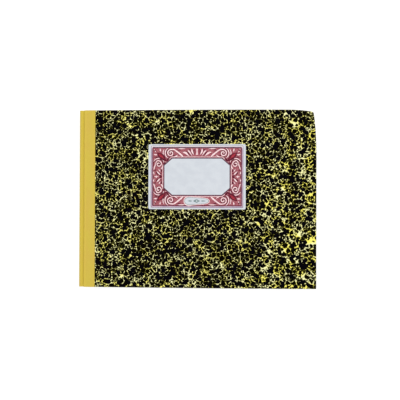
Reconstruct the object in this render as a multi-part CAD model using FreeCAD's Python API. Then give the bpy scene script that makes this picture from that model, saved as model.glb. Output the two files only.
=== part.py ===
"""Oblong account ledger, quarter bound and cut flush: a sewn block between two boards.

The ledger lies closed on its back cover. X runs from the spine to the fore-edge, Y from the
tail to the head and Z up from the table. The origin is under the middle of the book.
Cross-sections are drawn in (u, z), where u is the distance from the outside of the spine.
Everything is in millimetres.
"""

import FreeCAD, Part
import math
import os

from FreeCAD import Vector

# Book
BOOK_WIDTH = 207.5  # outside of the spine to the fore-edge
BOOK_HEIGHT = 155.0  # tail to head

# Text block
LEAF_COUNT = 100
LEAF_THICKNESS = 0.088
SECTION_COUNT = 10
BACK_ROUNDING = 0.20  # how far each folded back stands out between its neighbours
SPINE_BULGE = 0.50  # roundness of the whole spine

# Covers and sheets
BOARD_THICKNESS = 1.30
COVER_BOW = 1.80  # rise of the front board's middle over its two edges
COVER_PAPER_THICKNESS = 0.13
CLOTH_THICKNESS = 0.30
ENDPAPER_THICKNESS = 0.14
LINING_THICKNESS = 0.20
LABEL_THICKNESS = 0.11
PASTE = 0.04  # paste film between two glued layers
FOLD_GAP = 0.06  # between the two halves of a folded endpaper

# Joint between the spine and the boards
BOARD_SETBACK = 5.7  # outside of the spine to the boards' spine edge
CLOTH_TURN_ON = 14.7  # outside of the spine to the cloth's edge on each cover
SLOPE_FOOT_REACH = 0.95  # board's edge to where the cloth starts to climb it
SLOPE_TOP_REACH = 0.26  # board's edge to where the cloth turns on to the cover
SLOPE_TOP_RADIUS = 0.35
JOINT_RADIUS = 0.55
SHOULDER_RADIUS = 0.90

# Sewing
THREAD_DIAMETER = 0.50
THREAD_SIDES = 8  # the laid thread is drawn with flat sides
THREAD_DEPTH = 0.60  # from the back of a section to the middle of the thread
THREAD_CLEARANCE = 0.03
LINK_STRAIGHT = 0.12  # straight middle of the short link between two sections
KNOT_CLEARANCE = 0.02
KERF_CLEARANCE = 0.10  # from a knot to the floor of its kerf
KERF_SIDE_CLEARANCE = 0.28
KETTLE_INSET = 12.0  # head or tail to the middle of the kettle stitch's kerf

# Trimmed outline, with the head corner of the fore-edge worn soft
WORN_HEAD_LENGTH = 24.0
WORN_HEAD_DROP = 1.90
WORN_FORE_LENGTH = 38.0
WORN_FORE_INSET = 2.50
WORN_CORNER_RADIUS = 2.60
TAIL_CORNER_RADIUS = 0.70

# Title label
LABEL_WIDTH = 84.6
LABEL_HEIGHT = 56.6
LABEL_CENTRE_U = 104.2
LABEL_CENTRE_Y = 19.2
LABEL_CORNER_RADIUS = 1.4

MARGIN = 5.0  # how far tools and untrimmed sheets reach past the book


def stack_levels():
    """Height of each layer's lower face at the boards' edges, from the table up."""
    layers = [
        ("back_cloth", CLOTH_THICKNESS, PASTE),
        ("back_paper", COVER_PAPER_THICKNESS, PASTE),
        ("back_board", BOARD_THICKNESS, PASTE),
        ("back_pastedown", ENDPAPER_THICKNESS, FOLD_GAP),
        ("back_flyleaf", ENDPAPER_THICKNESS, 0.0),
        ("pages", LEAF_COUNT * LEAF_THICKNESS, 0.0),
        ("front_flyleaf", ENDPAPER_THICKNESS, FOLD_GAP),
        ("front_pastedown", ENDPAPER_THICKNESS, PASTE),
        ("front_board", BOARD_THICKNESS, PASTE),
        ("front_paper", COVER_PAPER_THICKNESS, PASTE),
        ("front_cloth", CLOTH_THICKNESS, 0.0),
    ]
    levels = {}
    z = 0.0
    for name, thickness, gap_above in layers:
        levels[name] = z
        z += thickness + gap_above
    return levels


def circle_radius(chord, rise):
    return (chord**2 + 4 * rise**2) / (8 * rise)


LEVEL = stack_levels()
PAGES_LOW = LEVEL["pages"]
PAGES_HIGH = LEVEL["front_flyleaf"]
MIDDLE_Z = (PAGES_LOW + PAGES_HIGH) / 2
JOINT_FLOOR = LEVEL["front_board"]  # the cloth's inner face in the joint
PAPER_HEIGHT = LEVEL["front_paper"] - LEVEL["front_board"]  # over a board's inner face
OUTER_HEIGHT = LEVEL["front_cloth"] - LEVEL["front_board"]  # of what is glued on the paper
SECTION_THICKNESS = (PAGES_HIGH - PAGES_LOW) / SECTION_COUNT

# The spine's arcs share one centre, level with the middle of the pages.
BACK_U = CLOTH_THICKNESS + LINING_THICKNESS + 2 * PASTE
SPINE_RADIUS = circle_radius(PAGES_HIGH - PAGES_LOW, SPINE_BULGE)
SPINE_CENTRE_U = BACK_U + SPINE_RADIUS
CLOTH_DEPTH = -(LINING_THICKNESS + 2 * PASTE)  # of the cloth's inner face

# The bowed layers of the front cover share one centre too, far below the book.
BOW_CHORD = BOOK_WIDTH - BOARD_SETBACK
BOW_RADIUS = circle_radius(BOW_CHORD, COVER_BOW)
BOW_CENTRE_U = BOARD_SETBACK + BOW_CHORD / 2
BOW_CENTRE_Z = LEVEL["front_board"] + COVER_BOW - BOW_RADIUS

# Where the cloth leaves the rounded spine for the flat of the joint.
SHOULDER_Z = JOINT_FLOOR - SHOULDER_RADIUS
SHOULDER_U = SPINE_CENTRE_U - math.sqrt(
    (SPINE_RADIUS - CLOTH_DEPTH - SHOULDER_RADIUS) ** 2 - (SHOULDER_Z - MIDDLE_Z) ** 2
)

KETTLE_Y = BOOK_HEIGHT / 2 - KETTLE_INSET
KNOT_RADIUS = SECTION_THICKNESS / 2 - KNOT_CLEARANCE


def at(u, z):
    """A point of a cross-section, in the plane of the tail edge."""
    return Vector(u - BOOK_WIDTH / 2, -BOOK_HEIGHT / 2, z)


def spine_u(z, depth):
    """u of the rounded spine at height z, at a depth inside the sections' backs."""
    return SPINE_CENTRE_U - math.sqrt((SPINE_RADIUS - depth) ** 2 - (z - MIDDLE_Z) ** 2)


def bowed_z(u, height):
    """Height of the front cover's curve at u, at a height over the board's inner face."""
    return BOW_CENTRE_Z + math.sqrt((BOW_RADIUS + height) ** 2 - (u - BOW_CENTRE_U) ** 2)


def line(start, end):
    return Part.LineSegment(start, end).toShape()


def arc(start, middle, end):
    return Part.Arc(start, middle, end).toShape()


def spine_arc(z_from, z_to, depth):
    heights = (z_from, (z_from + z_to) / 2, z_to)
    return arc(*[at(spine_u(z, depth), z) for z in heights])


def bow_arc(u_from, u_to, height):
    places = (u_from, (u_from + u_to) / 2, u_to)
    return arc(*[at(u, bowed_z(u, height)) for u in places])


def outlined(edges):
    """Makes a face of edges in order, with straight lines across the gaps between them."""
    ring = []
    for edge, following in zip(edges, edges[1:] + edges[:1]):
        ring.append(edge)
        end = edge.lastVertex(True).Point
        start = following.firstVertex(True).Point
        if end.distanceToPoint(start) > 1e-7:
            ring.append(line(end, start))
    return Part.Face(Part.Wire(ring))


def backwards(edges):
    return [edge.reversed() for edge in reversed(edges)]


def flipped(shape):
    """Turns a front layer over to the back of the book."""
    return shape.mirror(Vector(0, 0, MIDDLE_Z), Vector(0, 0, 1))


def rounded_path(points, radii):
    """Straight runs through the points, joined at the inner ones by tangent arcs."""
    edges = []
    start = points[0]
    for before, corner, after, radius in zip(points, points[1:], points[2:], radii):
        back = (before - corner).normalize()
        ahead = (after - corner).normalize()
        half_angle = back.getAngle(ahead) / 2
        trim = radius / math.tan(half_angle)
        inward = (back + ahead).normalize()
        centre = corner + inward * (radius / math.sin(half_angle))
        arc_start = corner + back * trim
        arc_end = corner + ahead * trim
        edges.append(line(start, arc_start))
        edges.append(arc(arc_start, centre - inward * radius, arc_end))
        start = arc_end
    edges.append(line(start, points[-1]))
    return edges


def worn_arc(start, end, along):
    """An arc to the end point that leaves its start in the direction of a trimmed edge."""
    chord = end - start
    turn = along.getAngle(chord)
    radius = chord.Length / 2 / math.sin(turn)
    inward = (chord - along * chord.dot(along)).normalize()
    middle = start + along * (radius * math.sin(turn)) + inward * (radius * (1 - math.cos(turn)))
    return arc(start, middle, end)


def trimmed(sheet):
    """Cuts a sheet to the knife's outline, which every layer of the book shares."""
    left, right = -BOOK_WIDTH / 2 - MARGIN, BOOK_WIDTH / 2
    tail, head = -BOOK_HEIGHT / 2, BOOK_HEIGHT / 2
    worn_corner = Vector(right - WORN_FORE_INSET, head - WORN_HEAD_DROP, 0)
    tail_corner = Vector(right, tail, 0)
    head_end = Vector(right - WORN_HEAD_LENGTH, head, 0)
    fore_end = Vector(right, head - WORN_FORE_LENGTH, 0)
    edges = [
        line(Vector(left, tail, 0), tail_corner),
        line(tail_corner, fore_end),
        worn_arc(fore_end, worn_corner, Vector(0, 1, 0)),
        worn_arc(head_end, worn_corner, Vector(1, 0, 0)).reversed(),
        line(head_end, Vector(left, head, 0)),
    ]
    thickness = bowed_z(BOW_CENTRE_U, OUTER_HEIGHT) + 2 * MARGIN
    knife = outlined(edges).extrude(Vector(0, 0, thickness))
    corners = ((worn_corner, WORN_CORNER_RADIUS), (tail_corner, TAIL_CORNER_RADIUS))
    for corner, radius in corners:
        upright = [
            edge
            for edge in knife.Edges
            if all(math.hypot(v.X - corner.x, v.Y - corner.y) < 1e-6 for v in edge.Vertexes)
        ]
        knife = knife.makeFillet(radius, upright)
    return sheet.common(knife.translated(Vector(0, 0, -MARGIN)))


def along_book(section):
    """Extrudes a cross-section from the tail to the head and trims it."""
    return trimmed(section.extrude(Vector(0, BOOK_HEIGHT, 0)))


def bowed_layer(height, thickness):
    """A layer of the front cover, from the boards' spine edge to the fore-edge."""
    ends = (BOARD_SETBACK, BOOK_WIDTH + MARGIN)
    lower = bow_arc(*ends, height)
    upper = bow_arc(*ends, height + thickness)
    return along_book(outlined([lower, upper.reversed()]))


def flat_layer(height, thickness):
    """A layer of the back cover, measured outwards from the board's inner face."""
    low = JOINT_FLOOR + height
    high = low + thickness
    ends = (BOARD_SETBACK, BOOK_WIDTH + MARGIN)
    lower = line(at(ends[0], low), at(ends[1], low))
    upper = line(at(ends[1], high), at(ends[0], high))
    return along_book(flipped(outlined([lower, upper])))


def thread_runs():
    """Where the thread lies in the fold of each section: the run's two ends, in order."""
    runs = []
    for k in range(SECTION_COUNT):
        z = PAGES_LOW + (k + 0.5) * SECTION_THICKNESS
        x = spine_u(z, THREAD_DEPTH) - BOOK_WIDTH / 2
        y = -KETTLE_Y if k % 2 == 0 else KETTLE_Y
        runs.append((Vector(x, y, z), Vector(x, -y, z)))
    return runs


def kettle_kerf(y):
    """The groove sawn across the sections' backs, which holds the links and knots."""
    width = 2 * (KNOT_RADIUS + KERF_SIDE_CLEARANCE)
    depth = THREAD_DEPTH + KNOT_RADIUS + KERF_CLEARANCE
    start = Vector(-BOOK_WIDTH / 2 - MARGIN, y - width / 2, PAGES_LOW - MARGIN)
    saw = Part.makeBox(SPINE_CENTRE_U, width, PAGES_HIGH - PAGES_LOW + 2 * MARGIN, start)
    centre = Vector(SPINE_CENTRE_U - BOOK_WIDTH / 2, y - width, MIDDLE_Z)
    kept = Part.makeCylinder(SPINE_RADIUS - depth, 2 * width, centre, Vector(0, 1, 0))
    return saw.cut(kept)


def pages():
    """The sewn sections as one block, with folded backs, sewing channels and two kerfs."""
    backs = []
    for k in range(SECTION_COUNT):
        low = PAGES_LOW + k * SECTION_THICKNESS
        high = low + SECTION_THICKNESS
        middle = (low + high) / 2
        valleys = [at(spine_u(z, BACK_ROUNDING), z) for z in (low, high)]
        backs.append(arc(valleys[0], at(spine_u(middle, 0), middle), valleys[1]))
    fore_u = BOOK_WIDTH + MARGIN
    fore_side = line(at(fore_u, PAGES_HIGH), at(fore_u, PAGES_LOW))
    block = along_book(outlined(backs + [fore_side]))

    channel_radius = THREAD_DIAMETER / 2 + THREAD_CLEARANCE
    channels = []
    for start, end in thread_runs():
        low_end = min(start, end, key=lambda point: point.y)
        way = Vector(0, 1, 0)
        channels.append(Part.makeCylinder(channel_radius, 2 * KETTLE_Y, low_end, way))
    kerfs = [kettle_kerf(-KETTLE_Y), kettle_kerf(KETTLE_Y)]
    return block.cut(kerfs + channels)


def sewing_thread():
    """One thread through every section's fold, linked at the kettle stitches and knotted."""
    points = [point for run in thread_runs() for point in run]
    bend_radius = (SECTION_THICKNESS - LINK_STRAIGHT) / 2
    path = Part.Wire(rounded_path(points, [bend_radius] * (len(points) - 2)))
    corners = []
    for k in range(THREAD_SIDES):
        angle = 2 * math.pi * k / THREAD_SIDES
        spoke = Vector(math.cos(angle), 0, math.sin(angle)) * (THREAD_DIAMETER / 2)
        corners.append(points[0] + spoke)
    thread = path.makePipeShell([Part.makePolygon(corners + corners[:1])], True, False)
    knots = [Part.makeSphere(KNOT_RADIUS, end) for end in (points[0], points[-1])]
    return thread.fuse(knots)


def spine_lining():
    """Strip glued over the sections' backs, between the two outer sections' middles."""
    low = PAGES_LOW + SECTION_THICKNESS / 2
    high = PAGES_HIGH - SECTION_THICKNESS / 2
    inner = spine_arc(high, low, -PASTE)
    outer = spine_arc(low, high, -PASTE - LINING_THICKNESS)
    return along_book(outlined([inner, outer]))


def cloth_half_path(cover_edge, cover_turn):
    """The cloth's inner face from its edge on a cover, through the joint and the shoulder."""
    slope_foot = at(BOARD_SETBACK - SLOPE_FOOT_REACH, JOINT_FLOOR)
    shoulder_start = at(SHOULDER_U, JOINT_FLOOR)
    radii = [SLOPE_TOP_RADIUS, JOINT_RADIUS]
    edges = rounded_path([cover_edge, cover_turn, slope_foot, shoulder_start], radii)

    centre = at(SHOULDER_U, SHOULDER_Z)
    outward = (centre - at(SPINE_CENTRE_U, MIDDLE_Z)).normalize()
    halfway = (outward + Vector(0, 0, 1)).normalize()
    middle = centre + halfway * SHOULDER_RADIUS
    shoulder_end = centre + outward * SHOULDER_RADIUS
    return edges + [arc(shoulder_start, middle, shoulder_end)]


def spine_cloth():
    """One strip of cloth round the spine, into both joints and on to both covers."""
    turn_u = BOARD_SETBACK - SLOPE_TOP_REACH
    front_half = cloth_half_path(
        at(CLOTH_TURN_ON, bowed_z(CLOTH_TURN_ON, OUTER_HEIGHT)),
        at(turn_u, bowed_z(BOARD_SETBACK, OUTER_HEIGHT)),
    )
    back_half = cloth_half_path(
        at(CLOTH_TURN_ON, JOINT_FLOOR + OUTER_HEIGHT),
        at(turn_u, JOINT_FLOOR + OUTER_HEIGHT),
    )
    back_half = [flipped(edge) for edge in back_half]
    shoulder_top = front_half[-1].lastVertex(True).Point.z
    round_back = spine_arc(shoulder_top, 2 * MIDDLE_Z - shoulder_top, CLOTH_DEPTH)
    inner_face = Part.Wire(front_half + [round_back] + backwards(back_half))
    section = inner_face.makeOffset2D(-CLOTH_THICKNESS, 0, True, True)
    return along_book(section)


def endpaper(outer_run, inner_run):
    """One folded sheet: a flat flyleaf on the pages and a pastedown with the faces given."""
    flyleaf_low = PAGES_HIGH
    flyleaf_high = flyleaf_low + ENDPAPER_THICKNESS
    pastedown_low = flyleaf_high + FOLD_GAP
    pastedown_high = pastedown_low + ENDPAPER_THICKNESS
    fold_z = flyleaf_high + FOLD_GAP / 2
    fold_outside = SHOULDER_U - FOLD_GAP / 2 - ENDPAPER_THICKNESS
    fold_inside = SHOULDER_U - FOLD_GAP / 2
    around = arc(at(SHOULDER_U, flyleaf_low), at(fold_outside, fold_z), at(SHOULDER_U, pastedown_high))
    within = arc(at(SHOULDER_U, pastedown_low), at(fold_inside, fold_z), at(SHOULDER_U, flyleaf_high))
    fore_u = BOOK_WIDTH + MARGIN
    fore_side = line(at(fore_u, flyleaf_high), at(fore_u, flyleaf_low))
    return outlined([around, outer_run, inner_run.reversed(), within, fore_side])


def front_endpaper():
    """Its pastedown crosses the joint flat and then follows the bowed board."""
    fore_u = BOOK_WIDTH + MARGIN
    outer_run = bow_arc(BOARD_SETBACK, fore_u, -PASTE)
    inner_run = bow_arc(BOARD_SETBACK, fore_u, -PASTE - ENDPAPER_THICKNESS)
    return along_book(endpaper(outer_run, inner_run))


def back_endpaper():
    fore_u = BOOK_WIDTH + MARGIN
    outer_z = JOINT_FLOOR - PASTE
    inner_z = outer_z - ENDPAPER_THICKNESS
    outer_run = line(at(BOARD_SETBACK, outer_z), at(fore_u, outer_z))
    inner_run = line(at(BOARD_SETBACK, inner_z), at(fore_u, inner_z))
    return along_book(flipped(endpaper(outer_run, inner_run)))


def front_board():
    return bowed_layer(0, BOARD_THICKNESS)


def front_cover_paper():
    return bowed_layer(PAPER_HEIGHT, COVER_PAPER_THICKNESS)


def title_label():
    """Pasted on the cover paper and bent with it."""
    ends = (LABEL_CENTRE_U - LABEL_WIDTH / 2, LABEL_CENTRE_U + LABEL_WIDTH / 2)
    lower = bow_arc(*ends, OUTER_HEIGHT)
    upper = bow_arc(*ends, OUTER_HEIGHT + LABEL_THICKNESS)
    slip = outlined([lower, upper.reversed()]).extrude(Vector(0, LABEL_HEIGHT, 0))
    slip = slip.translated(Vector(0, BOOK_HEIGHT / 2 + LABEL_CENTRE_Y - LABEL_HEIGHT / 2, 0))
    short_edges = [edge for edge in slip.Edges if edge.Length < 2 * LABEL_THICKNESS]
    return slip.makeFillet(LABEL_CORNER_RADIUS, short_edges)


def back_board():
    return flat_layer(0, BOARD_THICKNESS)


def back_cover_paper():
    return flat_layer(PAPER_HEIGHT, COVER_PAPER_THICKNESS)


PIECES = [
    pages,
    sewing_thread,
    spine_lining,
    spine_cloth,
    front_endpaper,
    back_endpaper,
    front_board,
    front_cover_paper,
    title_label,
    back_board,
    back_cover_paper,
]


def main():
    os.makedirs("parts", exist_ok=True)
    for make in PIECES:
        shape = make()
        if len(shape.Solids) != 1 or not shape.isValid():
            raise RuntimeError(f"{make.__name__} is not one valid solid")
        size = shape.optimalBoundingBox()
        print(f"{make.__name__}: {size.XLength:.2f} x {size.YLength:.2f} x {size.ZLength:.2f} mm")
        shape.Solids[0].exportStep(f"parts/{make.__name__}.step")


main()
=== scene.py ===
"""The looks of an oblong account ledger: marbled boards, a yellow cloth spine and a title label."""

import math

import bpy
import numpy as np
from mathutils import Euler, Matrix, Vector


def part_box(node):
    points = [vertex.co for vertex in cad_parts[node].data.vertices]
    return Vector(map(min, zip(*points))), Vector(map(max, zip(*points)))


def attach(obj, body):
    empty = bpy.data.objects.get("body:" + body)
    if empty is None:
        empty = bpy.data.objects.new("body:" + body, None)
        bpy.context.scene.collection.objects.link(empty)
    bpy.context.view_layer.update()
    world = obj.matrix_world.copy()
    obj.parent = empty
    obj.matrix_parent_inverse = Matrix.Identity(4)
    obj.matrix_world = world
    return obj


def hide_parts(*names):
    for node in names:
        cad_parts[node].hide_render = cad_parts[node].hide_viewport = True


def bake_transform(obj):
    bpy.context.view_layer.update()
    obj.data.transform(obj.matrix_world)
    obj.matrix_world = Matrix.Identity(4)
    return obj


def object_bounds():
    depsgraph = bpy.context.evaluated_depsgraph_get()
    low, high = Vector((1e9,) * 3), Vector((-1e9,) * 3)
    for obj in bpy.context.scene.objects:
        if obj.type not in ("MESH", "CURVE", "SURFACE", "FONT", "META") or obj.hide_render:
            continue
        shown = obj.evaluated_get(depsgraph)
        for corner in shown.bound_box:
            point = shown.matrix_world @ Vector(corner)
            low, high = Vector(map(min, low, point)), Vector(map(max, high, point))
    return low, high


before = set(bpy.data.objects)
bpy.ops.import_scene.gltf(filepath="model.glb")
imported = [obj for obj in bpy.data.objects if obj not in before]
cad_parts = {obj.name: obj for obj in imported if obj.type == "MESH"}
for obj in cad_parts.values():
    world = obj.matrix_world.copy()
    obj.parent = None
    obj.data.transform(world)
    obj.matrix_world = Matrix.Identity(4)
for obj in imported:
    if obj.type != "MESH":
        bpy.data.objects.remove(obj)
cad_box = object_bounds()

MM = 0.001

# Sizes that the frame's boxes don't give, in millimetres
PASTE = 0.04
CLOTH_THICKNESS = 0.30
ENDPAPER_THICKNESS = 0.14
LINING_THICKNESS = 0.20
FOLD_GAP = 0.06
SPINE_BULGE = 0.50
SLOPE_FOOT_REACH = 0.95
SLOPE_TOP_REACH = 0.26
SLOPE_TOP_RADIUS = 0.35
JOINT_RADIUS = 0.55
SHOULDER_RADIUS = 0.90
BEND_START_U = 1.95  # where the cloth and the pastedowns get a row of extra columns, from the spine
BEND_END_U = 2.70
BEND_COLUMNS = 21
EDGE_STEPS = (0, 0.25, 0.6, 1.2, 2.4)  # places of the points nearest to an edge
FRAY_SIZE = 3.1  # of the waves along a frayed edge
SHARP_ANGLE = 40  # degrees
LEAF_COUNT = 100
SECTION_COUNT = 10


def box_mm(node):
    low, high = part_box(node)
    return np.array(low) / MM, np.array(high) / MM


book_low, book_high = (np.array(corner) / MM for corner in cad_box)
pages_low, pages_high = box_mm("pages")
board_low, board_high = box_mm("front_board")
label_low, label_high = box_mm("title_label")
back_board_low, back_board_high = box_mm("back_board")
back_paper_low, back_paper_high = box_mm("back_cover_paper")

SPINE_X, TAIL_Y = book_low[:2]
FORE_X, HEAD_Y = book_high[:2]
PAGES_LOW, PAGES_HIGH = pages_low[2], pages_high[2]
MIDDLE_Z = (PAGES_LOW + PAGES_HIGH) / 2
BOARD_X = board_low[0]
CLOTH_EDGE_X = box_mm("spine_cloth")[1][0]
BOARD_THICKNESS = back_board_high[2] - back_board_low[2]
PAPER_THICKNESS = back_paper_high[2] - back_paper_low[2]
BOW = board_high[2] - board_low[2] - BOARD_THICKNESS
JOINT_FLOOR = board_low[2]
BEND_X = np.linspace(SPINE_X + BEND_START_U, SPINE_X + BEND_END_U, BEND_COLUMNS)
PAPER_HEIGHT = BOARD_THICKNESS + PASTE  # over a board's inner face
PAPER_TOP = PAPER_HEIGHT + PAPER_THICKNESS
OUTER_HEIGHT = PAPER_TOP + PASTE  # of the cloth and the label

BOW_CHORD = FORE_X - BOARD_X
BOW_RADIUS = (BOW_CHORD**2 + 4 * BOW**2) / (8 * BOW)
BOW_CENTRE_X = (BOARD_X + FORE_X) / 2
BOW_CENTRE_Z = JOINT_FLOOR + BOW - BOW_RADIUS

SPINE_CHORD = PAGES_HIGH - PAGES_LOW
SPINE_RADIUS = (SPINE_CHORD**2 + 4 * SPINE_BULGE**2) / (8 * SPINE_BULGE)
CLOTH_RADIUS = SPINE_RADIUS + LINING_THICKNESS + 2 * PASTE  # of the cloth's inner face
SPINE_CENTRE_X = SPINE_X + CLOTH_THICKNESS + CLOTH_RADIUS
SHOULDER_Z = JOINT_FLOOR - SHOULDER_RADIUS
SHOULDER_X = SPINE_CENTRE_X - math.sqrt(
    (CLOTH_RADIUS - SHOULDER_RADIUS) ** 2 - (SHOULDER_Z - MIDDLE_Z) ** 2
)
SHOULDER_TURN = math.atan2(SHOULDER_Z - MIDDLE_Z, SPINE_CENTRE_X - SHOULDER_X)
SHOULDER_RUN = SHOULDER_TURN * CLOTH_RADIUS + (math.pi / 2 - SHOULDER_TURN) * SHOULDER_RADIUS
SLOPE_RUN = SHOULDER_RUN + BOARD_X - SLOPE_FOOT_REACH - SHOULDER_X  # from the back's middle


def front_z(x, height):
    """The front cover's bowed surface at a height over the board's inner face."""
    bowed = BOW_CENTRE_Z + np.sqrt((BOW_RADIUS + height) ** 2 - (x - BOW_CENTRE_X) ** 2)
    return np.where(x < BOARD_X, JOINT_FLOOR + height, bowed)


def flat_z(x, height):
    """The same surface without the bow, which is flipped over for the back cover."""
    return JOINT_FLOOR + height + 0 * x


def ripple(x, y, size, seed):
    """Smooth, wandering noise between about -1 and 1 with features of a given size."""
    total = 0
    for turn, shift, drift in np.random.default_rng(seed).uniform(0, 2 * math.pi, (6, 3)):
        along = x * math.cos(turn) + y * math.sin(turn)
        across = y * math.cos(turn) - x * math.sin(turn)
        bend = 0.9 * np.sin(across / size * 3 + drift)
        total = total + np.sin(along * 2 * math.pi / size + shift + bend)
    return total / 3.2


# Meshes


def linked(name, data):
    """A new object in the scene."""
    thing = bpy.data.objects.new(name, data)
    bpy.context.scene.collection.objects.link(thing)
    return thing


def new_piece(name, points, faces, material, uv=None, edge=None):
    """Makes a mesh object from points in millimetres. uv places each point on the flat sheet,
    and edge is each point's distance from the sheet's cut edge, also in millimetres."""
    mesh = bpy.data.meshes.new(name)
    mesh.from_pydata((np.asarray(points, float) * MM).tolist(), [], [list(map(int, f)) for f in faces])
    mesh.polygons.foreach_set("use_smooth", [True] * len(mesh.polygons))
    if uv is not None:
        flat = mesh.uv_layers.new(name="flat")
        corners = np.zeros(len(mesh.loops), np.int32)
        mesh.loops.foreach_get("vertex_index", corners)
        flat.data.foreach_set("uv", np.asarray(uv, np.float32)[corners].ravel())
    if edge is not None:
        attribute = mesh.attributes.new("edge", "FLOAT", "POINT")
        attribute.data.foreach_set("value", np.asarray(edge, np.float32))
    mesh.materials.append(material)
    mesh.set_sharp_from_angle(angle=math.radians(SHARP_ANGLE))
    return linked(name, mesh)


def ring_faces(lower, upper):
    """Quads between two closed rings of point numbers."""
    n = len(lower)
    return [(lower[i], lower[(i + 1) % n], upper[(i + 1) % n], upper[i]) for i in range(n)]


def left_of(ways):
    """Unit vectors to the left of flat ones."""
    ways = ways / np.linalg.norm(ways, axis=1)[:, None]
    return np.column_stack([-ways[:, 1], ways[:, 0]])


def resampled(line, fractions):
    """Points at the given fractions of a polyline's length."""
    line = np.asarray(line, float)
    steps = np.linalg.norm(np.diff(line, axis=0), axis=1)
    places = np.concatenate([[0], np.cumsum(steps)]) / steps.sum()
    return np.stack([np.interp(fractions, places, line[:, k]) for k in range(line.shape[1])], 1)


def convex_ring(points):
    """The outer points of a flat set, in order against the clock."""
    centre = (points.min(0) + points.max(0)) / 2
    around = points[np.argsort(np.arctan2(*(points - centre).T[::-1]))]
    ring = []
    for point in np.concatenate([around, around[:2]]):
        while len(ring) > 1:
            way, onward = ring[-1] - ring[-2], point - ring[-1]
            if way[0] * onward[1] - way[1] * onward[0] > 1e-6:
                break
            ring.pop()
        ring.append(point)
    return np.array(ring[1:-1])


def outline_sides(node):
    """A flat node's outline as four polylines against the clock: tail, fore-edge, head and
    spine side. They are read from the frame, so they follow its worn and cut corners."""
    points = np.array([v.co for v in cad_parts[node].data.vertices], float) / MM
    ring = convex_ring(np.unique(points[:, :2].round(3), axis=0))
    centre = (ring.min(0) + ring.max(0)) / 2
    corners = [int(np.argmax((ring - centre) @ way)) for way in ((-1, -1), (1, -1), (1, 1), (-1, 1))]
    sides = []
    for start, end in zip(corners, corners[1:] + corners[:1]):
        count = (end - start) % len(ring)
        sides.append(ring[[(start + k) % len(ring) for k in range(count + 1)]])
    return sides


def starting_at(sides, x):
    """The same outline with its spine side moved to another x."""
    tail, fore, head, spine = [side.copy() for side in sides]
    tail[0, 0] = head[-1, 0] = x
    spine[:, 0] = x
    return [tail, fore, head, spine]


def distance_to(line, points):
    """Distance from each point to a polyline."""
    best = np.full(len(points), np.inf)
    for start, end in zip(line, line[1:]):
        way = end - start
        t = np.clip(((points - start) @ way) / max(way @ way, 1e-12), 0, 1)
        best = np.minimum(best, np.linalg.norm(points - start - t[:, None] * way, axis=1))
    return best


def spaced(length, pitch):
    """Fractions of a length: close together at both ends and about a pitch apart between."""
    *near, last = EDGE_STEPS
    inner = np.linspace(last, length - last, max(2, round((length - 2 * last) / pitch)))
    return np.concatenate([near, inner, length - np.array(near)[::-1]]) / length


def closed_sheet(name, lower, upper, material, edge=None, rim=(), roughness=0.0, flip=False, uv=None):
    """A thin closed sheet between two grids of points, each rows by columns. edge is each
    point's distance from the cut edge, rim lists (share of the thickness, depth) for the rings
    of points round that edge, and roughness frays them. flip turns the sheet over to the book's
    back, and uv is its points' x and y unless it is given."""
    grid = np.arange(lower[..., 0].size).reshape(lower.shape[:2])  # of point numbers
    first = grid.size
    lower, upper = lower.reshape(-1, 3), upper.reshape(-1, 3)
    points = [lower, upper]
    quads = np.dstack([grid[:-1, :-1], grid[:-1, 1:], grid[1:, 1:], grid[1:, :-1]]).reshape(-1, 4)
    faces = [*quads[:, ::-1], *(quads + first)]

    ring = np.concatenate([grid[0], grid[1:, -1], grid[-1, -2::-1], grid[-2:0:-1, 0]])
    around = lower[ring]
    forward = np.roll(around, -1, 0) - np.roll(around, 1, 0)
    middle = (around.min(0) + around.max(0)) / 2
    inward = np.column_stack([-forward[:, 1], forward[:, 0], 0 * forward[:, 0]])
    inward[:, 1] = np.abs(inward[:, 1]) * np.sign(middle[1] - around[:, 1])
    inward /= np.maximum(np.linalg.norm(inward, axis=1), 1e-6)[:, None]
    rings = [ring]
    count = 2 * first
    for k, (share, depth) in enumerate(rim):
        fray = ripple(around[:, 0] + 31 * k, around[:, 1], FRAY_SIZE, 5 + k)
        wander = depth + roughness * (1 + fray)
        wander = np.maximum(wander, 0)
        points.append(around * (1 - share) + upper[ring] * share + inward * wander[:, None])
        rings.append(np.arange(count, count + len(ring)))
        count += len(ring)
    rings.append(ring + first)
    for below, above in zip(rings, rings[1:]):
        faces += ring_faces(below, above)

    points = np.concatenate(points)
    if edge is not None:
        edge = np.concatenate([edge, edge, np.zeros(len(points) - 2 * first)])
    if flip:
        points = points * [1, 1, -1] + [0, 0, 2 * MIDDLE_Z]
        faces = [face[::-1] for face in faces]
    return new_piece(name, points, faces, material, points[:, :2] if uv is None else uv, edge)


def filled_outline(sides, pitch=3.6):
    """A grid of flat points inside an outline, row by row from the tail to the head and closer
    together along its edges."""
    s, t = (spaced(np.linalg.norm(side[-1] - side[0]), pitch) for side in (sides[0], sides[3]))
    tail, head = resampled(sides[0], s), resampled(sides[2][::-1], s)
    fore, spine = resampled(sides[1], t), resampled(sides[3][::-1], t)
    s, t = s[None, :, None], t[:, None, None]
    between = (1 - t) * tail[None] + t * head[None] + (1 - s) * spine[:, None] + s * fore[:, None]
    corners = (1 - s) * (1 - t) * tail[0] + s * (1 - t) * tail[-1]
    corners = corners + (1 - s) * t * head[0] + s * t * head[-1]
    return between - corners


def raised(grid, z):
    """Flat points with their heights added."""
    return np.dstack([grid, np.broadcast_to(z, grid.shape[:2])])


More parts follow.
